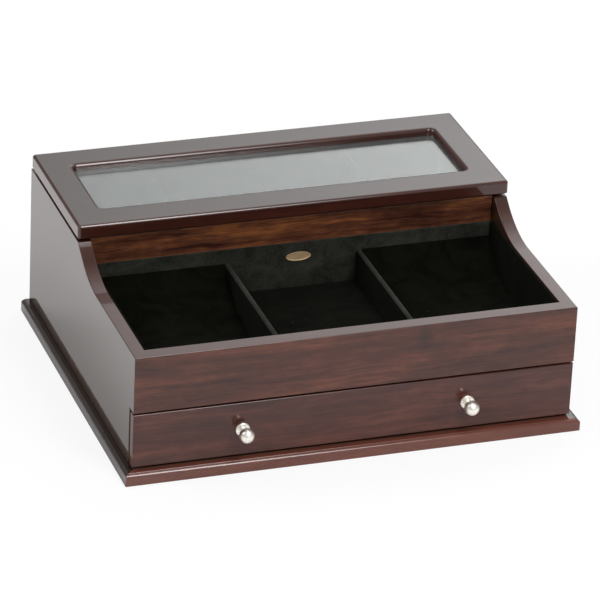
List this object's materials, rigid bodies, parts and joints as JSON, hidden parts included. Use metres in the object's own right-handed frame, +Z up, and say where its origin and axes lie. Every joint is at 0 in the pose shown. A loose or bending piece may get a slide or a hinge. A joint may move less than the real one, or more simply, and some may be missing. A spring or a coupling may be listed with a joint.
{
  "type": "valet box",
  "caption": "Lacquered wooden valet box: open velvet-lined tray with coved compartments, hinged glass-topped display case behind, drawer below.",
  "frame": {"origin": "on the table, at the centre of the moulded foot's outline", "axes": "+Z up, +X to the right seen from the front, the drawer and tray face -Y"},
  "size_m": [0.3114, 0.2675, 0.1187],
  "materials": {
    "lacquered_wood": "high-gloss clear lacquer over dark reddish-brown veneer",
    "inner_wood": "matt dark stain",
    "black_velvet": "short-pile velvet over card",
    "felt": "pressed felt",
    "clear_glass": "polished",
    "satin_nickel": "satin nickel plate",
    "plated_steel": "nickel plate",
    "oval_plate": "lacquered satin"
  },
  "bodies": {
    "case": {"base_felt": "felt", "base_board": "inner_wood", "plinth_front": "lacquered_wood", "plinth_left": "lacquered_wood", "plinth_right": "lacquered_wood", "left_side_panel": "lacquered_wood", "right_side_panel": "lacquered_wood", "back_panel": "lacquered_wood", "front_rail": "lacquered_wood", "riser_panel": "lacquered_wood", "tray_board": "inner_wood", "tray_lining_front": "black_velvet", "tray_lining_back": "black_velvet", "tray_lining_left": "black_velvet", "tray_lining_right": "black_velvet", "tray_divider_left": "black_velvet", "tray_divider_right": "black_velvet", "coved_liner_left": "black_velvet", "coved_liner_right": "black_velvet", "tray_floor_pad": "black_velvet", "badge_plate": "oval_plate", "display_lining_front": "black_velvet", "display_lining_back": "black_velvet", "display_lining_left": "black_velvet", "display_lining_right": "black_velvet", "display_floor_pad": "black_velvet", "display_divider_left": "black_velvet", "display_divider_middle": "black_velvet", "display_divider_right": "black_velvet", "lid_bumpers": "felt", "hinge_left_case_leaf": "plated_steel", "hinge_right_case_leaf": "plated_steel", "hinge_left_pin": "plated_steel", "hinge_right_pin": "plated_steel", "hinge_case_screws": "plated_steel"},
    "lid": {"lid_frame": "lacquered_wood", "glass_pane": "clear_glass", "glass_bead_front": "lacquered_wood", "glass_bead_back": "lacquered_wood", "glass_bead_left": "lacquered_wood", "glass_bead_right": "lacquered_wood", "hinge_left_lid_leaf": "plated_steel", "hinge_right_lid_leaf": "plated_steel", "hinge_lid_screws": "plated_steel"},
    "drawer": {"drawer_front": "lacquered_wood", "drawer_left_side": "inner_wood", "drawer_right_side": "inner_wood", "drawer_back": "inner_wood", "drawer_bottom": "inner_wood", "drawer_lining_floor": "black_velvet", "drawer_lining_front": "black_velvet", "drawer_lining_back": "black_velvet", "drawer_lining_left": "black_velvet", "drawer_lining_right": "black_velvet", "knob_left": "satin_nickel", "knob_right": "satin_nickel", "knob_screws": "plated_steel"}
  },
  "joints": [
    {"name": "lid_hinge", "type": "hinge", "parent": "case", "child": "lid", "pos_m": [0, 0.12965, 0.1081], "axis": [-1, 0, 0], "range_deg": [0, 100]},
    {"name": "drawer_slide", "type": "slide", "parent": "case", "child": "drawer", "axis": [0, -1, 0], "range_m": [0, 0.17]}
  ]
}
